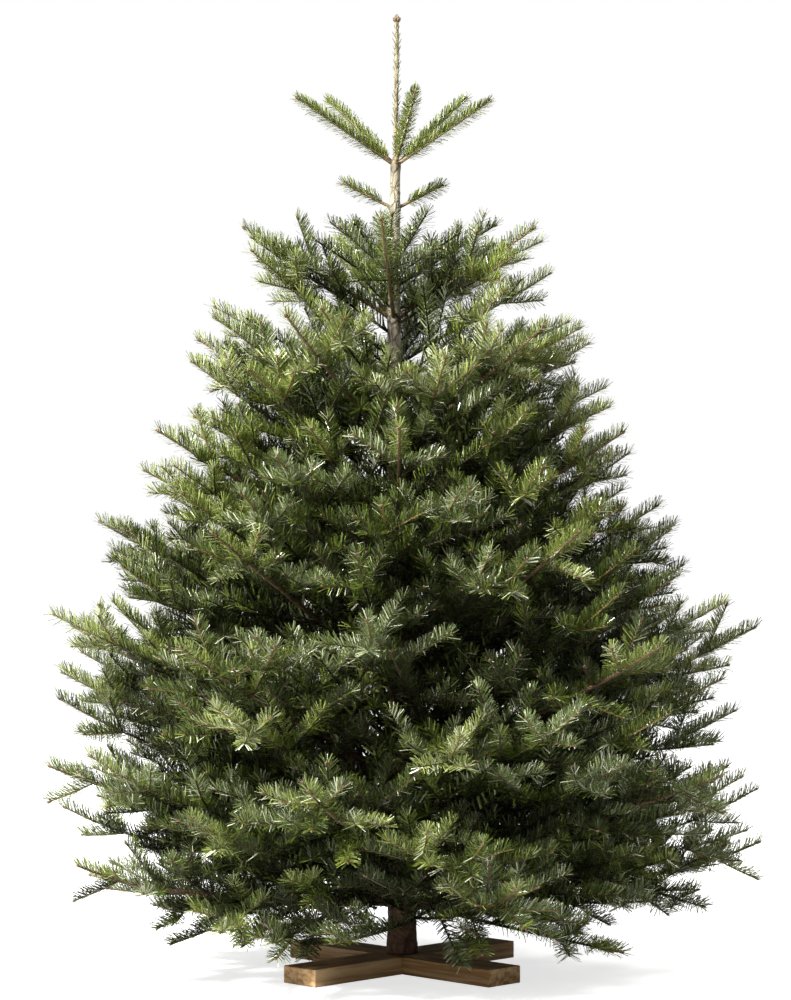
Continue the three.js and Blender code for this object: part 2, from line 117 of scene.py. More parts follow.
# Needles
NEEDLE_COUNT = 430000
NEEDLE_LENGTH = 30
NEEDLE_WIDTH = 2.3
PALE_SHARE = 0.6
# More silver needles towards the top: painted sheen
PALE_AT_TOP = 0.35
TOP_PALE = 1.0
TOP_NEEDLE_LENGTH = 24
TOP_THICKNESS = 2.2
LEADER_NEEDLE_LENGTH = 16
LEADER_NEEDLE_WIDTH = 1.5
LEADER_THICKNESS = 0.45
FORWARD_ANGLE = 55
TOP_FORWARD_ANGLE = 46
LEADER_FORWARD_ANGLE = 24
SHOOT_SPREAD = 2.25
LEAST_NEEDLES = 6
SHORTEST_SHOOT = 12
OLDEST_NEEDLES = 4
NEEDLE_ROWS = 9
ROW_STEP = 4
# Where the needles' tone, mixed with painted light and shade, changes from one colour to the next
DEEP_LIGHT = 0.2
FOREST_LIGHT = 0.42
OPEN_LIGHT = 0.7
BLUE_HUES = 0.4
DARKER_SHARE = 0.32
LIGHTER_SHARE = 0.16
LOOSE_PIECE = 95000
# Twigs deeper than this inside the crown take the painted shade brown
DARK_DEPTH = 190
BUD_SIDES = 4
BUD_DEPTH = 0.7
BUD_SIZES = {1: 1.5, 2: 1.15, 3: 0.9}
BUD_LENGTH = 8.5
BUD_RADIUS = 2.7
SIDE_BUD_LENGTH = 6.5
SIDE_BUD_RADIUS = 2.1

# The crown's reach from the trunk at heights above the cut
CROWN_HEIGHTS = (0, 60, 150, 300, 420, 620, 780, 900, 1060, 1180, 1290, 1400, 1530, 1620, 1800, 1960)
CROWN_REACHES = (400, 480, 640, 735, 755, 720, 680, 590, 505, 430, 430, 350, 310, 150, 220, 20)

# Limbs between the whorls: how many leave the trunk in each gap, from the top
WIDEST_REACH = 772
BETWEEN_COUNTS = (12, 16, 22, 26, 26, 21, 14)
BETWEEN_MARGIN = 15
BETWEEN_MARGINS = 25
TOP_GAP_SHARE = 0.5
BETWEEN_FILL = 1.04
LOWERED_SHARE = 0.55
LOWERED_BY = 16

# Whorls, from the top: height above the cut, age, vigour, rise, bow, how far their ends turn up
# for their length, whether the first year's growth is bare, and the compass angles
def evenly(count, start):
    return [start + index * 360 / count for index in range(count)]


WHORLS = [
    SimpleNamespace(
        height=height, age=age, vigour=vigour, rise=rise, bow=bow, upturn=upturn, bare=bare,
        compass=compass)
    for height, age, vigour, rise, bow, upturn, bare, compass in (
        (1677, 1, 1.78, 31, 0, 0, False, [281, 339, 39, 139, 202]),
        (1584, 1, 0.86, 27, 0, 0, False, [182, 5]),
        (1348, 2, 1.33, 29, 4, 0.02, False, evenly(5, 192)),
        (1060, 3, 1.29, 29, 6, 0.02, False, evenly(5, 23)),
        (793, 4, 1.1, 31, 8, 0.01, False, evenly(5, 196)),
        (557, 5, 1.17, 27.5, 8, 0.01, True, evenly(5, 164)),
        (362, 6, 1.13, 21, 4, 0.02, True, evenly(5, 18)),
        (208, 7, 0.91, 14, -6, 0.02, True, evenly(5, 188)),
        (110, 7, 0.87, 6.5, -12, 0.04, False, [205, 290, 8, 110]),
    )
]

# ------------------------------------------------------------------ small helpers


def chance(*keys):
    """A seeded number from 0 to 1 that belongs to a list of whole-number keys."""
    state = SEED
    for key in keys:
        state = ((state ^ (int(key) + 1)) * 2654435761) & 0xFFFFFFFF
        state ^= state >> 15
    return state / 4294967296


def jitter(amount, *keys):
    return amount * (2 * chance(*keys) - 1)


def smooth(value):
    share = np.clip(value, 0, 1)
    return share * share * (3 - 2 * share)


def unit(vectors):
    return vectors / np.linalg.norm(vectors, axis=-1, keepdims=True)


def turned(vector, axis, degrees):
    """A vector turned about an axis by the right-hand rule."""
    angle = math.radians(degrees)
    across = np.cross(axis, vector)
    level = axis * np.dot(axis, vector) * (1 - math.cos(angle))
    return vector * math.cos(angle) + across * math.sin(angle) + level


def year_ends(age, vigour):
    """How far along a bough each year's growth ends."""
    return list(np.cumsum([FIRST_YEAR_GROWTH * vigour * YEARLY_DECLINE**year for year in range(age)]))


def frames(path, shares, reference=UP):
    """Along, side and over directions of a path at several shares."""
    along = unit(path(shares + 0.01) - path(shares - 0.01))
    side = unit(np.cross(reference, along))
    return along, side, np.cross(along, side)


# ------------------------------------------------------------------ trunk


def trunk_centre(height):
    """The trunk's centre at heights above the cut: it leans a little, then comes back."""
    height = np.atleast_1d(np.asarray(height, float))
    lean = -TRUNK_LEAN * smooth(height / LEAN_HEIGHT)
    back = TRUNK_RETURN * smooth((height - LEAN_HEIGHT) / (TREE_HEIGHT - LEAN_HEIGHT))
    return np.stack([lean + back, np.zeros_like(height), CUT_HEIGHT + height], axis=1)


def trunk_radius(height):
    height = np.atleast_1d(np.asarray(height, float))
    top = WHORLS[0].height
    lower = BUTT_RADIUS + (TOP_RADIUS - BUTT_RADIUS) * height / top
    lower = lower + FLARE * (1 - smooth(height / FLARE_HEIGHT))
    leader = LEADER_RADIUS + (LEADER_TIP_RADIUS - LEADER_RADIUS) * (height - top) / (TREE_HEIGHT - top)
    blend = smooth((height - top) / 24)
    return lower * (1 - blend) + leader * blend


# ------------------------------------------------------------------ limbs and twigs

limbs = []


def bough_path(whorl, compass, length):
    """A bough's centre line, from the trunk's centre at 0 to the tip at 1."""
    foot = trunk_centre(whorl.height)[0]
    outward = np.array([math.cos(math.radians(compass)), math.sin(math.radians(compass)), 0])
    reach = length * math.cos(math.radians(whorl.rise))
    climb = length * math.sin(math.radians(whorl.rise))

    def path(shares):
        s = np.atleast_1d(shares)[:, None]
        upturn = whorl.upturn * length * (np.clip(s - UPTURN_START, 0, None) / (1 - UPTURN_START)) ** 2
        return foot + outward * reach * s + UP * (climb * s + 4 * whorl.bow * s * (1 - s) + upturn)

    return path


def twig_path(root, heading, length, lift, sway):
    """A twig's centre line: it leaves along its heading, sways a little and lifts to its tip."""
    side = unit(np.cross(UP, heading))

    def path(shares):
        s = np.atleast_1d(shares)[:, None]
        straight = root + heading * length * s + UP * lift * length * s * s
        return straight + side * sway * length * np.sin(4 * s)

    return path


def grow(limb):
    """Adds a limb, then the twigs that branch from each year's node of it."""
    limbs.append(limb)
    if limb.order >= FINEST_ORDER:
        return
    first = limb.order == 1
    for year, end in enumerate(limb.ends[:-1]):
        share = end / limb.length
        rest = limb.length - end
        if share < limb.start:
            continue
        for hand in (1, -1):
            here = [*limb.keys, year, hand + 1]
            spread = SIDE_ANGLE_JITTER if first else FINE_ANGLE_JITTER
            angle = hand * (SIDE_ANGLE + jitter(spread, *here, 3))
            pitch = (hand if year % 2 else -hand) * SIDE_PITCH + (0 if first else FINE_PITCH)
            pitch += jitter(SIDE_PITCH_JITTER if first else FINE_PITCH_JITTER, *here, 4)
            vary = SIDE_SHARE_JITTER if first else FINE_SHARE_JITTER
            reach = (SIDE_SHARE if first else FINE_SHARE) * rest * (1 + jitter(vary, *here, 5))
            side_twig(limb, share, angle, pitch, reach, year + 1, here)
        if first:
            turn = jitter(RISER_TURN_JITTER, *limb.keys, year, 6)
            pitch = HANGER_PITCH if year % 2 else RISER_PITCH
            reach = RISER_SHARE * rest + RISER_LENGTH
            first_year = max(year + 1, len(limb.ends) - 2)
            side_twig(limb, share, turn, pitch, reach, first_year, [*limb.keys, year, 5])
        elif rest > FINE_RISER_REST:
            turn = jitter(FINE_RISER_TURN_JITTER, *limb.keys, year, 6)
            pitch = FINE_HANGER_PITCH if year % 2 else FINE_RISER_PITCH
            reach = FINE_RISER_SHARE * rest + FINE_RISER_LENGTH
            side_twig(limb, share, turn, pitch, reach, len(limb.ends) - 1, [*limb.keys, year, 5])
    if first:
        stretch_twigs(limb)


def stretch_twigs(limb):
    """Short twigs along the longer years' growth, between its nodes."""
    starts = [0.0, *limb.ends[:-1]]
    for year, (start, end) in enumerate(zip(starts, limb.ends)):
        old = len(limb.ends) - 1 - year
        count = int((end - start) / STRETCH_SPACING)
        if old == 0 or count == 0:
            continue
        for place in range(count):
            here = [*limb.keys, year, 11 + place]
            share = (start + (end - start) * (place + 0.5 + jitter(0.3, *here, 1)) / count) / limb.length
            if share < max(limb.start, STRETCH_START):
                continue
            angle = (1 if place % 2 else -1) * (STRETCH_ANGLE + jitter(12, *here, 2))
            pitch = jitter(34, *here, 3) + 12
            reach = (STRETCH_LENGTH + STRETCH_YEARLY * old) * (1 + jitter(0.3, *here, 4))
            first_year = len(limb.ends) - 1 - (reach > LONG_STRETCH)
            side_twig(limb, share, angle, pitch, reach, first_year, here)


def hangs_too_low(tip):
    """Whether a point is under the skirt, before the trunk's foot or before its bare stretch."""
    height = tip[2] - CUT_HEIGHT
    if tip[1] < 0 and abs(tip[0]) < FOOT_GAP and height < FOOT_SLOPE * -tip[1]:
        return True
    if tip[1] < 0 and abs(tip[0] + TRUNK_LEAN) < WINDOW_GAP and WINDOW_LOW < height < WINDOW_HIGH:
        return True
    return height < SKIRT_HEIGHT + SKIRT_SLOPE * math.hypot(tip[0], tip[1])


def side_twig(parent, share, angle, pitch, reach, first_year, keys):
    """A twig turned to one side of its parent and pitched, with the years that are left to it."""
    if reach < SHORTEST_TWIG:
        return
    along, _, over = (part[0] for part in frames(parent.path, np.array([share])))
    heading = turned(along, over, angle)
    level = unit(np.cross(UP, heading))
    heading = unit(turned(heading, level, -pitch))
    years = max(1, len(parent.ends) - first_year)
    growth = np.cumsum([YEARLY_DECLINE**year for year in range(years)])
    root = parent.path(np.array([share]))[0]
    tip = root + heading * reach
    if hangs_too_low(tip) or (parent.order + 1 == FINEST_ORDER and foliage_depth(tip) > FINEST_DEPTH):
        return
    lift = SPRAY_LIFT + jitter(0.05, *keys, 7)
    grow(SimpleNamespace(
        path=twig_path(root, heading, reach, lift, jitter(0.02, *keys, 8)), length=reach,
        ends=list(reach * growth / growth[-1]), order=parent.order + 1, keys=keys, start=0.0,
        root_radius=TWIG_RADIUS + 0.75 * (years - 1), tip_radius=TWIG_RADIUS, reference=UP,
        tone=float(np.clip(parent.tone + jitter(0.6 if parent.order == 1 else 0.16, *keys, 9), 0, 1)),
        hue=chance(*keys, 10) if parent.order == 1 else parent.hue))


def grow_boughs():
    """The whorls' boughs, by the same keys as the solids."""
    for whorl_index, whorl in enumerate(WHORLS):
        for index, compass in enumerate(whorl.compass):
            keys = [whorl_index, index]
            if whorl.age > 1:
                compass += jitter(COMPASS_JITTER, *keys, 0)
            ends = year_ends(whorl.age, whorl.vigour * (1 + jitter(VIGOUR_JITTER, *keys, 9)))
            length = ends[-1]
            steeper = FAR_RISE if whorl_index == 0 and 0 < compass < 180 else 0
            stem = SimpleNamespace(
                height=whorl.height, rise=whorl.rise + steeper, bow=whorl.bow, upturn=whorl.upturn)
            grow(SimpleNamespace(
                path=bough_path(stem, compass, length), length=length, ends=ends, order=1, keys=keys,
                start=(ends[0] - BARE_STOP) / length if whorl.bare else 0.0, reference=UP,
                root_radius=BOUGH_RADIUS_START + BOUGH_RADIUS_YEARLY * (whorl.age - 1),
                tip_radius=LIMB_TIP_RADIUS, tone=0.5, hue=chance(*keys, 10)))


def crown_reach(height):
    """About how far the foliage reaches from the trunk at a height above the cut."""
    return np.interp(height, CROWN_HEIGHTS, CROWN_REACHES)


def outer_share(point):
    """How far out a point lies: 0 at the trunk, 1 at the outside of the foliage."""
    height = point[2] - CUT_HEIGHT
    centre = trunk_centre(height)[0]
    return min(1.0, math.hypot(point[0] - centre[0], point[1]) / crown_reach(height))


def foliage_depth(point):
    """How far a point lies inside the crown's outline, along the level."""
    height = point[2] - CUT_HEIGHT
    centre = trunk_centre(height)[0]
    return float(crown_reach(height)) - math.hypot(point[0] - centre[0], point[1])


def grow_between_whorls():
    """Thinner limbs that leave the trunk between its whorls and fill the crown out to its outline."""
    for gap, (upper, lower) in enumerate(zip(WHORLS[1:-1], WHORLS[2:])):
        count = BETWEEN_COUNTS[gap]
        rise = (upper.rise + lower.rise) / 2
        for index in range(count):
            keys = [40 + gap, index]
            share = (index + 0.5 + jitter(0.45, *keys, 1)) / count
            room = (upper.height - lower.height - BETWEEN_MARGINS) * share
            height = lower.height + BETWEEN_MARGIN + room * (TOP_GAP_SHARE if gap == 0 else 1)
            compass = index * 137.5 + 60 * gap + jitter(16, *keys, 2)
            climb = math.radians(rise + jitter(7, *keys, 4))
            if gap == 1 and share > LOWERED_SHARE and math.sin(math.radians(compass)) < -0.6:
                climb -= math.radians(LOWERED_BY)
            fill = BETWEEN_FILL + jitter(0.06, *keys, 3)
            length = 0.0
            for _ in range(4):
                reach = min(WIDEST_REACH, fill * float(crown_reach(height + length * math.sin(climb))))
                length = reach / math.cos(climb)
            bearing = math.radians(compass)
            heading = np.array([math.cos(bearing), math.sin(bearing), math.tan(climb)])
            foot = trunk_centre(height)[0]
            outer_points = (
                foot + heading * math.cos(climb) * length * part for part in (0.5, 0.75, 1.0))
            if any(hangs_too_low(point) for point in outer_points):
                continue
            years = min(5, upper.age + (1 if gap else 0))
            stem = SimpleNamespace(
                height=height, rise=math.degrees(climb), bow=lower.bow, upturn=lower.upturn)
            growth = np.cumsum([YEARLY_DECLINE**year for year in range(years)])
            grow(SimpleNamespace(
                path=bough_path(stem, compass, length), length=length,
                ends=list(length * growth / growth[-1]), order=2, keys=keys, start=0.0,
                root_radius=2.2 + 0.5 * years, tip_radius=TWIG_RADIUS, reference=UP,
                tone=chance(*keys, 5), hue=chance(*keys, 6)))


grow_boughs()
grow_between_whorls()

# ------------------------------------------------------------------ joined meshes


class Heap:
    """Points and triangles gathered for one joined mesh."""

    def __init__(self):
        self.points, self.triangles, self.count = [], [], 0

    def add(self, points, triangles):
        self.points.append(points)
        self.triangles.append(triangles + self.count)
        self.count += len(points)


def joined_piece(name, heap, finish, soft_shade=False, values=None):
    """One mesh piece from a heap, carried by the tree's only body."""
    points = np.concatenate(heap.points).astype(np.float32) * MM
    triangles = np.concatenate(heap.triangles).astype(np.int32)
    mesh = bpy.data.meshes.new(name)
    mesh.vertices.add(len(points))
    mesh.vertices.foreach_set("co", points.ravel())
    mesh.loops.add(triangles.size)
    mesh.loops.foreach_set("vertex_index", triangles.ravel())
    mesh.polygons.add(len(triangles))
    mesh.polygons.foreach_set("loop_start", np.arange(0, triangles.size, 3, dtype=np.int32))
    mesh.update(calc_edges=True)
    mesh.polygons.foreach_set("use_smooth", np.full(len(triangles), soft_shade))
    for key, numbers in (values or {}).items():
        mesh.attributes.new(key, "FLOAT", "POINT").data.foreach_set("value", numbers.astype(np.float32))
    mesh.materials.append(finish)
    piece = bpy.data.objects.new(name, mesh)
    bpy.context.collection.objects.link(piece)
    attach(piece, "root")
    return piece


def tube_triangles(rings, sides):
    """Triangles of a tube of rings, and of the cone that closes its tip."""
    ring = np.arange(rings - 1)[:, None] * sides
    corner = np.arange(sides)[None, :]
    after = (corner + 1) % sides
    low, low_next = (ring + corner).ravel(), (ring + after).ravel()
    walls = np.concatenate([
        np.stack([low, low_next, low_next + sides], axis=1),
        np.stack([low, low_next + sides, low + sides], axis=1)])
    last = (rings - 1) * sides
    cap = np.stack([last + corner[0], last + after[0], np.full(sides, rings * sides)], axis=1)
    return np.concatenate([walls, cap])


def tube(heap, path, shares, radii, sides, reference=UP):
    """A limb as a tube along a path."""
    along, side, over = frames(path, shares, reference)
    angle = 2 * math.pi * np.arange(sides) / sides
    spokes = side[:, None] * np.cos(angle)[None, :, None] + over[:, None] * np.sin(angle)[None, :, None]
    radii = radii if radii.ndim == 2 else np.repeat(radii[:, None], sides, axis=1)
    centres = path(shares)
    points = (centres[:, None] + spokes * radii[:, :, None]).reshape(-1, 3)
    tip = centres[-1] + along[-1] * radii[-1].mean()
    heap.add(np.concatenate([points, tip[None]]), tube_triangles(len(shares), sides))


def wrapped_noise(turns, heights, cells_round, cell_height, seed):
    """Smooth seeded noise over a trunk's surface that meets itself round the back."""
    rows = int(heights.max() / cell_height) + 3
    lattice = np.random.default_rng(seed).random((rows, cells_round))
    x, y = turns * cells_round, heights / cell_height
    column, row = np.floor(x).astype(int), np.floor(y).astype(int)
    fx, fy = smooth(x - column), smooth(y - row)
    left, right = column % cells_round, (column + 1) % cells_round
    low = lattice[row, left] * (1 - fx) + lattice[row, right] * fx
    high = lattice[row + 1, left] * (1 - fx) + lattice[row + 1, right] * fx
    return low * (1 - fy) + high * fy


# ------------------------------------------------------------------ finishes


def linear(red, green, blue):
    """A display colour of 0 to 255 a channel as the linear colour that a shader takes."""
    channels = np.array([red, green, blue]) / 255
    return (*np.where(channels <= 0.04045, channels / 12.92, ((channels + 0.055) / 1.055) ** 2.4), 1.0)


def new_finish(name, roughness, specular=0.5):
    finish = bpy.data.materials.new(name)
    finish.use_nodes = True
    shader = finish.node_tree.nodes["Principled BSDF"]
    shader.inputs["Roughness"].default_value = roughness
    shader.inputs["Specular IOR Level"].default_value = specular
    return finish, shader


def plain_finish(name, colour, roughness, specular=0.5):
    """A finish of one plain colour, for joined pieces whose colour goes by spray."""
    finish, shader = new_finish(name, roughness, specular)
    shader.inputs["Base Color"].default_value = colour
    return finish


def bark_relief_group():
    """Bark: a mask of cracks between plates, a mottle, and a height for bumps."""
    group = bpy.data.node_groups.new("bark relief", "ShaderNodeTree")
    for name, value in (("Plate scale", 60.0), ("Stretch", 0.35)):
        socket = group.interface.new_socket(name, in_out="INPUT", socket_type="NodeSocketFloat")
        socket.default_value = value
    for name in ("Crack", "Mottle", "Height"):
        group.interface.new_socket(name, in_out="OUTPUT", socket_type="NodeSocketFloat")
    nodes, links = group.nodes, group.links
    put_in, put_out = nodes.new("NodeGroupInput"), nodes.new("NodeGroupOutput")
    place = nodes.new("ShaderNodeTexCoord")
    stretch = nodes.new("ShaderNodeCombineXYZ")
    stretch.inputs["X"].default_value = 1.0
    stretch.inputs["Y"].default_value = 1.0
    links.new(put_in.outputs["Stretch"], stretch.inputs["Z"])
    drawn = nodes.new("ShaderNodeVectorMath")
    drawn.operation = "MULTIPLY"
    links.new(place.outputs["Object"], drawn.inputs[0])
    links.new(stretch.outputs["Vector"], drawn.inputs[1])
    warp = nodes.new("ShaderNodeTexNoise")
    warp.inputs["Scale"].default_value = 45.0
    warp.inputs["Detail"].default_value = 3.0
    links.new(place.outputs["Object"], warp.inputs["Vector"])
    shifted = nodes.new("ShaderNodeVectorMath")
    shifted.operation = "MULTIPLY_ADD"
    links.new(warp.outputs["Color"], shifted.inputs[0])
    shifted.inputs[1].default_value = (0.012, 0.012, 0.012)
    links.new(drawn.outputs["Vector"], shifted.inputs[2])
    plates = nodes.new("ShaderNodeTexVoronoi")
    plates.feature = "DISTANCE_TO_EDGE"
    links.new(shifted.outputs["Vector"], plates.inputs["Vector"])
    links.new(put_in.outputs["Plate scale"], plates.inputs["Scale"])
    crack = nodes.new("ShaderNodeMapRange")
    crack.inputs["From Min"].default_value = 0.0
    crack.inputs["From Max"].default_value = 0.16
    crack.inputs["To Min"].default_value = 1.0
    crack.inputs["To Max"].default_value = 0.0
    links.new(plates.outputs["Distance"], crack.inputs["Value"])
    mottle = nodes.new("ShaderNodeTexNoise")
    mottle.inputs["Scale"].default_value = 160.0
    mottle.inputs["Detail"].default_value = 6.0
    links.new(drawn.outputs["Vector"], mottle.inputs["Vector"])
    height = nodes.new("ShaderNodeMath")
    height.operation = "SUBTRACT"
    links.new(mottle.outputs["Fac"], height.inputs[0])
    links.new(crack.outputs["Result"], height.inputs[1])
    links.new(crack.outputs["Result"], put_out.inputs["Crack"])
    links.new(mottle.outputs["Fac"], put_out.inputs["Mottle"])
    links.new(height.outputs["Value"], put_out.inputs["Height"])
    return group


BARK_RELIEF = bark_relief_group()


def bark_finish(name, plate_scale, stretch, stops, crack_colour, crack_share, bump_depth, roughness):
    """Bark whose colour changes with height, darker in its cracks and uneven all over, and darker still
    where an attribute carries painted shade and scars.
    """
    finish, shader = new_finish(name, roughness, 0.3)
    nodes, links = finish.node_tree.nodes, finish.node_tree.links
    relief = nodes.new("ShaderNodeGroup")
    relief.node_tree = BARK_RELIEF
    relief.inputs["Plate scale"].default_value = plate_scale
    relief.inputs["Stretch"].default_value = stretch
    place = nodes.new("ShaderNodeTexCoord")
    split = nodes.new("ShaderNodeSeparateXYZ")
    links.new(place.outputs["Object"], split.inputs["Vector"])
    level = nodes.new("ShaderNodeMapRange")
    level.inputs["From Max"].default_value = (TREE_HEIGHT + CUT_HEIGHT) * MM
    links.new(split.outputs["Z"], level.inputs["Value"])
    wander = nodes.new("ShaderNodeMath")
    wander.operation = "MULTIPLY_ADD"
    wander.inputs[1].default_value = 0.07
    links.new(relief.outputs["Mottle"], wander.inputs[0])
    links.new(level.outputs["Result"], wander.inputs[2])
    by_height = nodes.new("ShaderNodeValToRGB")
    ramp = by_height.color_ramp
    while len(ramp.elements) < len(stops):
        ramp.elements.new(0.5)
    for element, (position, colour) in zip(ramp.elements, stops):
        element.position = position
        element.color = colour
    links.new(wander.outputs["Value"], by_height.inputs["Fac"])
    uneven = nodes.new("ShaderNodeMix")
    uneven.data_type = "RGBA"
    uneven.blend_type = "MULTIPLY"
    uneven.inputs["Factor"].default_value = 0.55
    tint = nodes.new("ShaderNodeValToRGB")
    tint.color_ramp.elements[0].position = 0.3
    tint.color_ramp.elements[0].color = (0.35, 0.3, 0.26, 1)
    tint.color_ramp.elements[1].position = 0.68
    tint.color_ramp.elements[1].color = (1.0, 1.0, 1.0, 1)
    links.new(relief.outputs["Mottle"], tint.inputs["Fac"])
    links.new(by_height.outputs["Color"], uneven.inputs["A"])
    links.new(tint.outputs["Color"], uneven.inputs["B"])
    # The attribute adds the trunk's painted shade in its furrows and under its whorls, and its darker
    # scars.
    depth = nodes.new("ShaderNodeAttribute")
    depth.attribute_name = "scars_and_painted_shade"
    cracks_and_painted_shade = nodes.new("ShaderNodeMath")
    cracks_and_painted_shade.operation = "MULTIPLY_ADD"
    cracks_and_painted_shade.use_clamp = True
    cracks_and_painted_shade.inputs[1].default_value = crack_share
    links.new(relief.outputs["Crack"], cracks_and_painted_shade.inputs[0])
    links.new(depth.outputs["Fac"], cracks_and_painted_shade.inputs[2])
    cracked = nodes.new("ShaderNodeMix")
    cracked.data_type = "RGBA"
    cracked.inputs["B"].default_value = crack_colour
    links.new(cracks_and_painted_shade.outputs["Value"], cracked.inputs["Factor"])
    links.new(uneven.outputs["Result"], cracked.inputs["A"])
    links.new(cracked.outputs["Result"], shader.inputs["Base Color"])
    bump = nodes.new("ShaderNodeBump")
    bump.inputs["Strength"].default_value = 0.7
    bump.inputs["Distance"].default_value = bump_depth
    links.new(relief.outputs["Height"], bump.inputs["Height"])
    links.new(bump.outputs["Normal"], shader.inputs["Normal"])
    return finish


def plank_finish(name, turn, seed):
    """Planed softwood with its grain along the plank, and knots."""
    finish, shader = new_finish(name, 0.62, 0.35)
    nodes, links = finish.node_tree.nodes, finish.node_tree.links
    place = nodes.new("ShaderNodeTexCoord")
    along = nodes.new("ShaderNodeMapping")
    along.inputs["Rotation"].default_value = (0, 0, math.radians(-turn))
    along.inputs["Location"].default_value = (seed, seed * 0.37, 0)
    links.new(place.outputs["Object"], along.inputs["Vector"])
    rings = nodes.new("ShaderNodeMapping")
    rings.inputs["Scale"].default_value = (1.4, 22.0, 30.0)
    links.new(along.outputs["Vector"], rings.inputs["Vector"])
    grain = nodes.new("ShaderNodeTexNoise")
    grain.inputs["Scale"].default_value = 3.2
    grain.inputs["Detail"].default_value = 5.0
    grain.inputs["Distortion"].default_value = 0.6
    links.new(rings.outputs["Vector"], grain.inputs["Vector"])
    fibre = nodes.new("ShaderNodeTexNoise")
    fibre.inputs["Scale"].default_value = 26.0
    fibre.inputs["Detail"].default_value = 4.0
    links.new(rings.outputs["Vector"], fibre.inputs["Vector"])
    knots = nodes.new("ShaderNodeTexVoronoi")
    knots.inputs["Scale"].default_value = 7.0
    links.new(along.outputs["Vector"], knots.inputs["Vector"])
    knot = nodes.new("ShaderNodeMapRange")
    knot.inputs["From Min"].default_value = 0.05
    knot.inputs["From Max"].default_value = 0.12
    knot.inputs["To Min"].default_value = 1.0
    knot.inputs["To Max"].default_value = 0.0
    links.new(knots.outputs["Distance"], knot.inputs["Value"])
    colours = nodes.new("ShaderNodeValToRGB")
    colours.color_ramp.elements[0].position = 0.36
    colours.color_ramp.elements[0].color = linear(160, 116, 70)
    colours.color_ramp.elements[1].position = 0.62
    colours.color_ramp.elements[1].color = linear(214, 180, 132)
    links.new(grain.outputs["Fac"], colours.inputs["Fac"])
    fine = nodes.new("ShaderNodeMix")
    fine.data_type = "RGBA"
    fine.blend_type = "MULTIPLY"
    fine.inputs["Factor"].default_value = 0.3
    links.new(colours.outputs["Color"], fine.inputs["A"])
    links.new(fibre.outputs["Color"], fine.inputs["B"])
    knotted = nodes.new("ShaderNodeMix")
    knotted.data_type = "RGBA"
    knotted.inputs["B"].default_value = linear(98, 60, 34)
    links.new(knot.outputs["Result"], knotted.inputs["Factor"])
    links.new(fine.outputs["Result"], knotted.inputs["A"])
    links.new(knotted.outputs["Result"], shader.inputs["Base Color"])
    bump = nodes.new("ShaderNodeBump")
    bump.inputs["Strength"].default_value = 0.4
    bump.inputs["Distance"].default_value = 0.0012
    links.new(fibre.outputs["Fac"], bump.inputs["Height"])
    links.new(bump.outputs["Normal"], shader.inputs["Normal"])
    return finish


# Needle colours, dealt out by spray and age, and by painted light and shade: darker deep inside the
# crown and low down, lighter at the outside and the top
NEEDLE_FINISHES = {
    "deep": plain_finish("needles, deep green and painted shade", linear(40, 45, 18), 0.5, 0.25),
    "forest": plain_finish("needles, forest green", linear(68, 82, 23), 0.3, 0.6),
    "blue": plain_finish("needles, blue green", linear(96, 108, 59), 0.28, 0.9),
    "olive": plain_finish("needles, olive green", linear(107, 118, 43), 0.28, 0.9),
    "fresh": plain_finish("needles, fresh yellow green and painted light", linear(138, 146, 80), 0.38, 0.5),
    "silver": plain_finish("needles, silver underside and painted sheen", linear(176, 178, 154), 0.45, 0.4),
}
# For each colour, the next darker and the next lighter one that a few of its needles take
NEIGHBOUR_TONES = {
    "deep": ("deep", "forest"), "forest": ("deep", "olive"), "blue": ("forest", "silver"),
    "olive": ("forest", "fresh"), "fresh": ("forest", "silver"),
}
YOUNG_TWIG = plain_finish("young twig, olive brown", linear(98, 78, 44), 0.6, 0.3)
OLD_TWIG = plain_finish("old twig, grey brown", linear(56, 45, 33), 0.75, 0.2)
PAINTED_SHADE_TWIG = plain_finish("twig, painted shade dark brown", linear(34, 28, 20), 0.85, 0.1)
BUD = plain_finish("bud, resinous brown", linear(90, 67, 38), 0.45)

TRUNK_BARK = bark_finish(
    "trunk bark", 75.0, 0.45,
    [(0.03, linear(96, 66, 46)), (0.16, linear(104, 80, 58)), (0.5, linear(120, 102, 78)),
     (0.68, linear(176, 168, 146)), (0.83, linear(168, 162, 142)), (0.9, linear(138, 127, 98))],
    linear(44, 28, 18), 0.55, 0.0025, 0.8)
BOUGH_BARK = bark_finish(
    "bough bark", 150.0, 1.0,
    [(0.0, linear(88, 66, 50)), (0.6, linear(108, 86, 62)), (1.0, linear(150, 132, 96))],
    linear(42, 28, 20), 0.4, 0.001, 0.8)

# ------------------------------------------------------------------ trunk and boughs


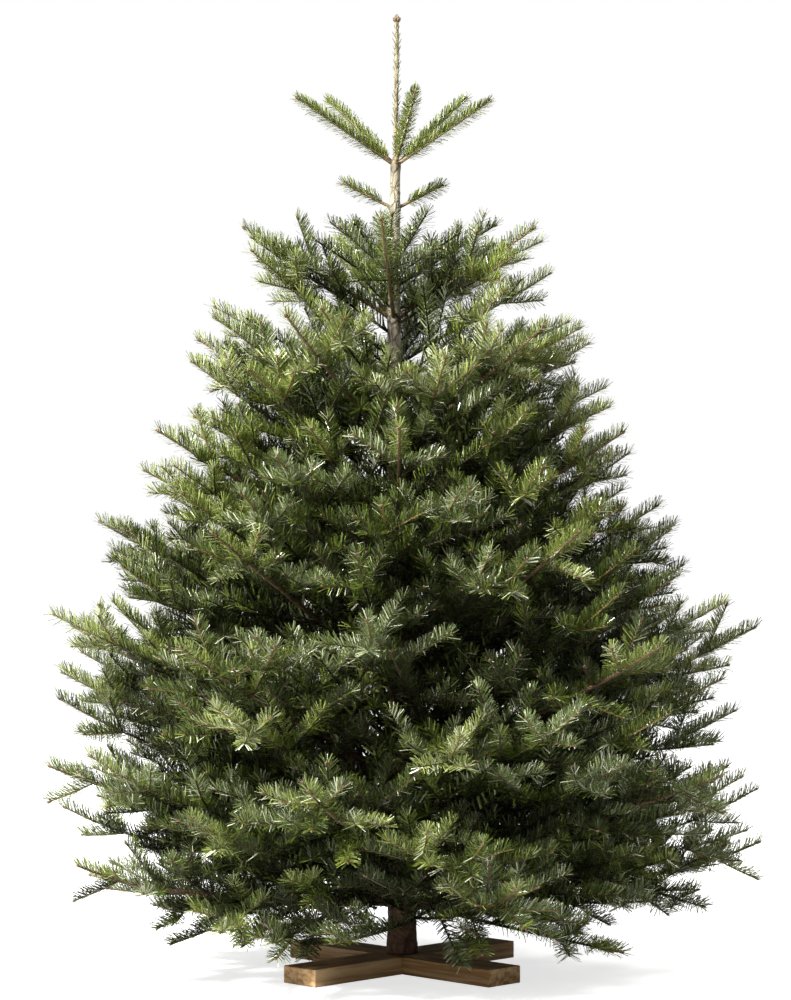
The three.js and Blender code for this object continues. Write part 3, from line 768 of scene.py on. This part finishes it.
def make_trunk():
    """The whole trunk, from its cut to the bud at its tip, with the relief of its bark."""
    sides = TRUNK_SIDES
    heights = np.concatenate([np.arange(0, 700, 4.0), np.arange(700, TREE_HEIGHT - 4, 5.5)])
    turns = np.arange(sides) / sides
    turn, height = np.meshgrid(turns, heights)
    radii = np.repeat(trunk_radius(heights)[:, None], sides, axis=1)
    rough = 1 - smooth((height - 250) / 900)
    plates = wrapped_noise(turn, height, 17, 26, 1) - 0.5
    ridges = np.abs(wrapped_noise(turn, height, 11, 60, 2) - 0.5) * 2
    grit = wrapped_noise(turn, height, 40, 7, 3) - 0.5
    radii = radii + rough * (2.2 * plates - 1.6 * (1 - ridges) ** 4) + (0.3 + 1.1 * rough) * grit
    # Painted shade: the bark darkened where its furrows sink in.
    scars_and_painted_shade = rough * np.clip((1 - ridges) ** 4, 0, 1) * 0.6
    for whorl in WHORLS:
        near = np.exp(-(((height - whorl.height) / 13) ** 2))
        radii = radii + 1.8 * near * (0.6 + 0.4 * np.cos(5 * 2 * math.pi * turn))
        # Painted shade: a darker band just under each whorl above 900 mm.
        scars_and_painted_shade = scars_and_painted_shade + 0.45 * np.exp(-(((height - whorl.height + 4) / 10) ** 2)) * (height > 900)
    for scar in range(TRUNK_SCARS):
        middle = 140 + 1500 * chance(71, scar)
        across = (turn - chance(72, scar) + 0.5) % 1 - 0.5
        size = 3.0 + 3.5 * chance(73, scar)
        away = np.hypot(across * 2 * math.pi * trunk_radius(middle)[0], (height - middle) * 1.3) / size
        radii = radii + 1.1 * np.exp(-((away - 1) ** 2) * 4) - 0.8 * np.exp(-(away**2) * 2)
        scars_and_painted_shade = scars_and_painted_shade + 0.5 * np.exp(-(away**2) * 1.5)
    heap = Heap()
    shares = heights / TREE_HEIGHT
    tube(heap, lambda s: trunk_centre(s * TREE_HEIGHT), shares, radii, sides, NORTH)
    foot = len(heap.points[0])
    heap.points.append(trunk_centre(0))
    corner = np.arange(sides)
    heap.triangles.append(np.stack([(corner + 1) % sides, corner, np.full(sides, foot)], axis=1))
    dark = np.concatenate([np.clip(scars_and_painted_shade, 0, 0.85).ravel(), [0.2, 0.2]])
    piece = joined_piece("trunk_bark", heap, TRUNK_BARK, True, {"scars_and_painted_shade": dark})
    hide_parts("trunk")


def make_boughs():
    """The wood of the whorls' boughs, each swollen a little at its foot and its nodes."""
    heap = Heap()
    for limb in limbs:
        if limb.order > 1:
            continue
        sides = 9 if limb.root_radius > 5 else 6
        shares = np.linspace(0.004, 0.995, max(8, int(limb.length / 11)))
        radii = limb.root_radius + (limb.tip_radius - limb.root_radius) * shares
        radii = radii + limb.root_radius * 0.5 * np.exp(-shares * limb.length / 30)
        for end in limb.ends[:-1]:
            radii = radii + 0.14 * radii * np.exp(-(((shares * limb.length - end) / 9) ** 2))
        rng = np.random.default_rng(int(chance(*limb.keys, 50) * 1e6))
        grit = rng.normal(0, 0.045, (len(shares), sides))
        tube(heap, limb.path, shares, radii[:, None] * (1 + grit), sides)
    dark = np.zeros(heap.count)
    piece = joined_piece("bough_bark", heap, BOUGH_BARK, True, {"scars_and_painted_shade": dark})
    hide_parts(*[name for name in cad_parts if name.startswith("bough_")])


def make_twigs():
    """Three-sided twigs, the newest year's growth apart from the older wood, with painted shade: a dark
    brown deep inside the crown.
    """
    young, old, deep = Heap(), Heap(), Heap()
    for limb in limbs:
        if limb.order == 1:
            continue
        starts = [0.0, *limb.ends[:-1]]
        for year, (start, end) in enumerate(zip(starts, limb.ends)):
            depth = foliage_depth(limb.path(np.array([(start + end) / 2 / limb.length]))[0])
            newest = year == len(limb.ends) - 1
            # Painted shade: twigs deep inside the crown take a dark brown, and the newest growth away
            # from the outside takes the old twig colour.
            heap = deep if depth > DARK_DEPTH else (young if newest and depth < DARK_DEPTH / 2 else old)
            shares = np.linspace(start, end, 2 if heap is deep else 3) / limb.length
            radii = limb.root_radius + (limb.tip_radius - limb.root_radius) * shares
            tube(heap, limb.path, shares, radii, 3)
    joined_piece("twigs_young", young, YOUNG_TWIG)
    joined_piece("twigs_old", old, OLD_TWIG)
    joined_piece("twigs_painted_shade", deep, PAINTED_SHADE_TWIG)


# ------------------------------------------------------------------ needles


def needle_tone(limb, age, middle):
    """The colour of a shoot's needles: by its spray's own tone and its age, with painted shade deep
    inside the crown and near the bottom, and painted light towards the top and the outside.
    """
    height = middle[2] - CUT_HEIGHT
    outer = outer_share(middle)
    high = float(smooth((height - 800) / 600))
    # Painted light and shade: needles lighter towards the outside and the top, darker deep inside and
    # near the bottom; the newest year and the spray's random tone are their own colour.
    light = 0.42 * float(smooth((outer - 0.48) / 0.5)) + (0.15 if age == 0 else 0.0)
    light += 0.28 * high - 0.07 * float(smooth((520 - height) / 400)) + 0.55 * (limb.tone - 0.5) - 0.03
    if light < DEEP_LIGHT:
        return "deep"
    if light < FOREST_LIGHT:
        return "forest"
    if light < OPEN_LIGHT:
        return "blue" if limb.hue < BLUE_HUES else "olive"
    return "fresh"


def list_shoots():
    """Each year's growth on each limb, with how thickly its needles stand."""
    shoots = []
    for limb in limbs:
        starts = [0.0, *limb.ends[:-1]]
        for year, (start, end) in enumerate(zip(starts, limb.ends)):
            age = len(limb.ends) - 1 - year
            first = max(start, limb.start * limb.length, 30 if limb.order == 1 else 6)
            if end - first < SHORTEST_SHOOT or (limb.order == 1 and age > OLDEST_NEEDLES):
                continue
            middle = limb.path(np.array([(first + end) / 2 / limb.length]))[0]
            depth = foliage_depth(middle)
            thick = max(0.55, 1.0 - 0.1 * age) * (0.16 + 0.84 * float(smooth((390 - depth) / 230)))
            topmost = limb.order == 1 and len(limb.ends) == 1
            shoots.append(SimpleNamespace(
                limb=limb, start=first, end=end, age=age, keys=[*limb.keys, year],
                thick=TOP_THICKNESS if topmost else thick,
                tone="olive" if topmost else needle_tone(limb, age, middle),
                forward=TOP_FORWARD_ANGLE if topmost else FORWARD_ANGLE,
                length=TOP_NEEDLE_LENGTH if topmost else NEEDLE_LENGTH,
                spread=math.pi if topmost else SHOOT_SPREAD + jitter(0.35, *limb.keys, year, 61),
                width=NEEDLE_WIDTH * (1.0 + 1.5 * float(smooth((depth - 230) / 160))),
                # Fewer silver needles deep inside the crown: painted shade.
                pale=TOP_PALE if topmost else PALE_SHARE + 0.3 * float(smooth(depth / 260))))
    leader_start = WHORLS[0].height + 26
    leader = SimpleNamespace(
        path=lambda s: trunk_centre(np.atleast_1d(s) * TREE_HEIGHT), length=TREE_HEIGHT,
        ends=[TREE_HEIGHT], order=1, root_radius=LEADER_RADIUS, tip_radius=LEADER_TIP_RADIUS,
        reference=NORTH)
    shoots.append(SimpleNamespace(
        limb=leader, start=leader_start, end=TREE_HEIGHT - 12, age=0, thick=LEADER_THICKNESS,
        tone="forest", keys=[90], forward=LEADER_FORWARD_ANGLE, length=LEADER_NEEDLE_LENGTH,
        spread=math.pi, width=LEADER_NEEDLE_WIDTH, pale=TOP_PALE))
    return shoots


def shoot_needles(shoot, count):
    """A shoot's needles, each a slim blunt blade with a little twist, as its four corners."""
    limb = shoot.limb
    rng = np.random.default_rng(int(chance(*shoot.keys, 60) * 4294967295))
    along_shoot = (np.arange(count) + rng.uniform(-0.3, 0.3, count) + 0.5) / count
    shares = (shoot.start + (shoot.end - shoot.start) * along_shoot) / limb.length
    along, side, over = frames(limb.path, shares, limb.reference)
    row = np.arange(count) * ROW_STEP % NEEDLE_ROWS
    turn = shoot.spread * (2 * (row + 0.5) / NEEDLE_ROWS - 1) + rng.normal(0, 0.1, count)
    low = smooth((np.abs(turn) - 1.2) / 1.3)
    outward = side * np.sin(turn)[:, None] + over * np.cos(turn)[:, None]
    near_tip = smooth((along_shoot - 0.8) / 0.2) if shoot.age == 0 else np.zeros(count)
    angle = np.radians(shoot.forward + 9 * low - 22 * near_tip + rng.normal(0, 5.5, count))
    direction = unit(along * np.cos(angle)[:, None] + outward * np.sin(angle)[:, None])
    length = shoot.length * (1 - 0.2 * near_tip) * (0.8 + 0.2 * smooth(along_shoot * 6))
    length = length * rng.uniform(0.86, 1.06, count)
    upper = over + along * 0.7 + outward * 0.25 + rng.normal(0, 0.3, (count, 3))
    upper = unit(upper - direction * np.sum(upper * direction, axis=1, keepdims=True))
    across = np.cross(direction, upper)
    twist = rng.uniform(-0.45, 0.45, (count, 1))
    radius = limb.root_radius + (limb.tip_radius - limb.root_radius) * shares
    base = limb.path(shares) + outward * (radius * 0.5)[:, None]
    tip = base + (direction + upper * rng.uniform(0.02, 0.2, (count, 1))) * length[:, None]
    half_base = across * shoot.width * 0.4
    half_tip = unit(across + upper * twist) * shoot.width * 0.34
    points = np.stack([base - half_base, base + half_base, tip + half_tip, tip - half_tip], axis=1)
    # The second value picks silver needles: the pale underside on the shoot's lower rows, and painted
    # sheen on the needles near a new shoot's tip.
    return points, low * rng.random(count) + 0.5 * near_tip * rng.random(count), rng.random(count)


def make_needles():
    """Every shoot's needles, joined by colour into pieces."""
    shoots = list_shoots()
    total = sum(shoot.thick * (shoot.end - shoot.start) for shoot in shoots)
    each = NEEDLE_COUNT / total
    piles = {tone: [] for tone in NEEDLE_FINISHES}
    for shoot in shoots:
        count = max(LEAST_NEEDLES, int(each * shoot.thick * (shoot.end - shoot.start)))
        points, underside_and_sheen, shade = shoot_needles(shoot, count)
        # Silver needles: real pale undersides, plus painted sheen that grows more common towards the
        # top.
        pale = underside_and_sheen > shoot.pale - PALE_AT_TOP * float(smooth((points[0, 0, 2] - 1300) / 300))
        darker, lighter = NEIGHBOUR_TONES[shoot.tone]
        piles["silver"].append(points[pale])
        piles[darker].append(points[~pale & (shade < DARKER_SHARE)])
        piles[lighter].append(points[~pale & (shade > 1 - LIGHTER_SHARE)])
        piles[shoot.tone].append(points[~pale & (shade >= DARKER_SHARE) & (shade <= 1 - LIGHTER_SHARE)])
    blade = np.array([[0, 1, 2], [0, 2, 3]])
    first = True
    for tone, pile in piles.items():
        corners = np.concatenate(pile) if pile else np.zeros((0, 4, 3))
        pieces = max(1, math.ceil(len(corners) / LOOSE_PIECE))
        for number, part in enumerate(np.array_split(corners, pieces)):
            if len(part) == 0:
                continue
            heap = Heap()
            triangles = (blade[None] + 4 * np.arange(len(part))[:, None, None]).reshape(-1, 3)
            heap.add(part.reshape(-1, 3), triangles)
            piece = joined_piece(f"needles_{tone}_{number + 1}", heap, NEEDLE_FINISHES[tone])
            if first:
                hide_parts(*[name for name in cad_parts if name.startswith("foliage_")])
                first = False


# ------------------------------------------------------------------ buds


def add_bud(heap, root, heading, length, radius):
    """A bud: a short egg with a pointed tip."""
    side = unit(np.cross(NORTH + 0.3 * UP, heading))
    over = np.cross(heading, side)
    angle = 2 * math.pi * np.arange(BUD_SIDES) / BUD_SIDES
    ring = side * np.cos(angle)[:, None] + over * np.sin(angle)[:, None]
    low = root + heading * length * 0.22 + ring * radius * 0.9
    high = root + heading * length * 0.6 + ring * radius * 0.85
    points = np.concatenate([root[None], low, high, (root + heading * length)[None]])
    corner = np.arange(BUD_SIDES) + 1
    after = corner % BUD_SIDES + 1
    triangles = np.concatenate([
        np.stack([after, corner, np.zeros(BUD_SIDES, int)], axis=1),
        np.stack([corner, after, after + BUD_SIDES], axis=1),
        np.stack([corner, after + BUD_SIDES, corner + BUD_SIDES], axis=1),
        np.stack([corner + BUD_SIDES, after + BUD_SIDES, np.full(BUD_SIDES, 2 * BUD_SIDES + 1)],
                 axis=1)])
    heap.add(points, triangles)


def make_buds():
    """Buds at the tips of the outer twigs, in threes on the stronger ones."""
    heap = Heap()
    for limb in limbs:
        tip = limb.path(np.array([0.99]))[0]
        if outer_share(tip) < BUD_DEPTH:
            continue
        along, side, over = (part[0] for part in frames(limb.path, np.array([0.99])))
        size = BUD_SIZES[limb.order]
        add_bud(heap, tip, along, BUD_LENGTH * size, BUD_RADIUS * size)
        if limb.order <= 2:
            for hand in (1, -1):
                heading = unit(along + side * hand * 0.8 + over * 0.1)
                add_bud(heap, tip - along * 2, heading, SIDE_BUD_LENGTH * size, SIDE_BUD_RADIUS * size)
    tip = trunk_centre(TREE_HEIGHT - 14)[0]
    add_bud(heap, tip, UP, 15, 5.5)
    for index in range(5):
        angle = math.radians(72 * index + 20)
        heading = unit(np.array([math.cos(angle), math.sin(angle), 1.1]))
        add_bud(heap, tip - UP * 3, heading, 14, 4.4)
    joined_piece("buds", heap, BUD, True)


# ------------------------------------------------------------------ stand


def make_stand():
    """The planks with eased edges, and the steel pin between them."""
    for node, turn, seed in (("stand_lower_plank", 45, 0.3), ("stand_upper_plank", 135, 1.7)):
        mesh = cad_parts[node].data.copy()
        board = bpy.data.objects.new(node.replace("stand_", "eased_"), mesh)
        bpy.context.collection.objects.link(board)
        mesh.materials.clear()
        mesh.materials.append(plank_finish(f"softwood plank, {node[6:11]}", turn, seed))
        weld = board.modifiers.new("weld", "WELD")
        weld.merge_threshold = 0.00005
        easing = board.modifiers.new("eased edges", "BEVEL")
        easing.width = 0.0022
        easing.segments = 2
        easing.limit_method = "ANGLE"
        easing.angle_limit = math.radians(50)
        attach(board, "root")
        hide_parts(node)
    steel, shader = new_finish("plain steel rod", 0.35)
    shader.inputs["Base Color"].default_value = linear(150, 152, 154)
    shader.inputs["Metallic"].default_value = 1.0
    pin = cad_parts["stand_pin"]
    pin.data.materials.clear()
    pin.data.materials.append(steel)


make_trunk()
make_boughs()
make_twigs()
make_needles()
make_buds()
make_stand()

# ------------------------------------------------------------------ studio


KEY_PLACE = np.array([-4.2, -3.4, 5.3])
# Each lamp's name, place and size in metres, and its power in watts
LAMPS = (("key", KEY_PLACE, 1.2, 1780), ("rim", (4.0, 1.6, 4.2), 1.6, 190))
FLOOR_GLOW = 0.7
CAMERA_PLACE = (0, -6.5, 0.986)
SENSOR_WIDTH = 36
LENS = 109.8


def make_studio():
    """A pale floor, a soft light from the upper left and an even pale surround."""
    bpy.ops.mesh.primitive_plane_add(size=60, location=(0, 0, -0.0005))
    floor = bpy.context.object
    floor.name = "studio_floor"
    sheet, shader = new_finish("pale floor", 0.9, 0.1)
    shader.inputs["Base Color"].default_value = (0.7, 0.7, 0.69, 1)
    shader.inputs["Emission Color"].default_value = (1, 1, 1, 1)
    glow = sheet.node_tree.nodes.new("ShaderNodeMath")
    glow.operation = "MULTIPLY"
    glow.inputs[1].default_value = FLOOR_GLOW
    ray = sheet.node_tree.nodes.new("ShaderNodeLightPath")
    sheet.node_tree.links.new(ray.outputs["Is Camera Ray"], glow.inputs[0])
    sheet.node_tree.links.new(glow.outputs["Value"], shader.inputs["Emission Strength"])
    floor.data.materials.append(sheet)
    world = bpy.data.worlds.new("pale surround")
    world.use_nodes = True
    nodes, links = world.node_tree.nodes, world.node_tree.links
    surround = nodes["Background"]
    surround.inputs["Color"].default_value = (1.0, 1.0, 1.0, 1)
    place = nodes.new("ShaderNodeTexCoord")
    toward_key = nodes.new("ShaderNodeVectorMath")
    toward_key.operation = "DOT_PRODUCT"
    toward_key.inputs[1].default_value = unit(KEY_PLACE)
    links.new(place.outputs["Generated"], toward_key.inputs[0])
    strength = nodes.new("ShaderNodeMapRange")
    strength.inputs["From Min"].default_value = -0.5
    strength.inputs["To Min"].default_value = 0.06
    strength.inputs["To Max"].default_value = 0.85
    links.new(toward_key.outputs["Value"], strength.inputs["Value"])
    seen = nodes.new("ShaderNodeLightPath")
    either = nodes.new("ShaderNodeMix")
    either.inputs["B"].default_value = 1.0
    links.new(seen.outputs["Is Camera Ray"], either.inputs["Factor"])
    links.new(strength.outputs["Result"], either.inputs["A"])
    links.new(either.outputs["Result"], surround.inputs["Strength"])
    bpy.context.scene.world = world
    bpy.context.scene.view_settings.view_transform = "Standard"
    for name, place, size, power in LAMPS:
        light = bpy.data.lights.new(name, "AREA")
        light.size = size
        light.energy = power
        lamp = bpy.data.objects.new(name, light)
        lamp.location = place
        aim = np.array([0, 0, 1.0]) - np.array(place)
        pitch = math.atan2(math.hypot(aim[0], aim[1]), -aim[2])
        lamp.rotation_euler = (pitch, 0, math.atan2(aim[1], aim[0]) - math.pi / 2)
        bpy.context.collection.objects.link(lamp)


def make_camera():
    """A level camera a little below the tree's middle, 6.5 metres in front of it."""
    camera = bpy.data.cameras.new("camera")
    camera.sensor_width = SENSOR_WIDTH
    camera.lens = LENS
    camera.shift_x = -0.0065
    camera.shift_y = 0.007
    camera.clip_end = 100
    eye = bpy.data.objects.new("camera", camera)
    eye.location = CAMERA_PLACE
    eye.rotation_euler = (math.radians(90), 0, 0)
    bpy.context.collection.objects.link(eye)
    bpy.context.scene.camera = eye


make_studio()
make_camera()
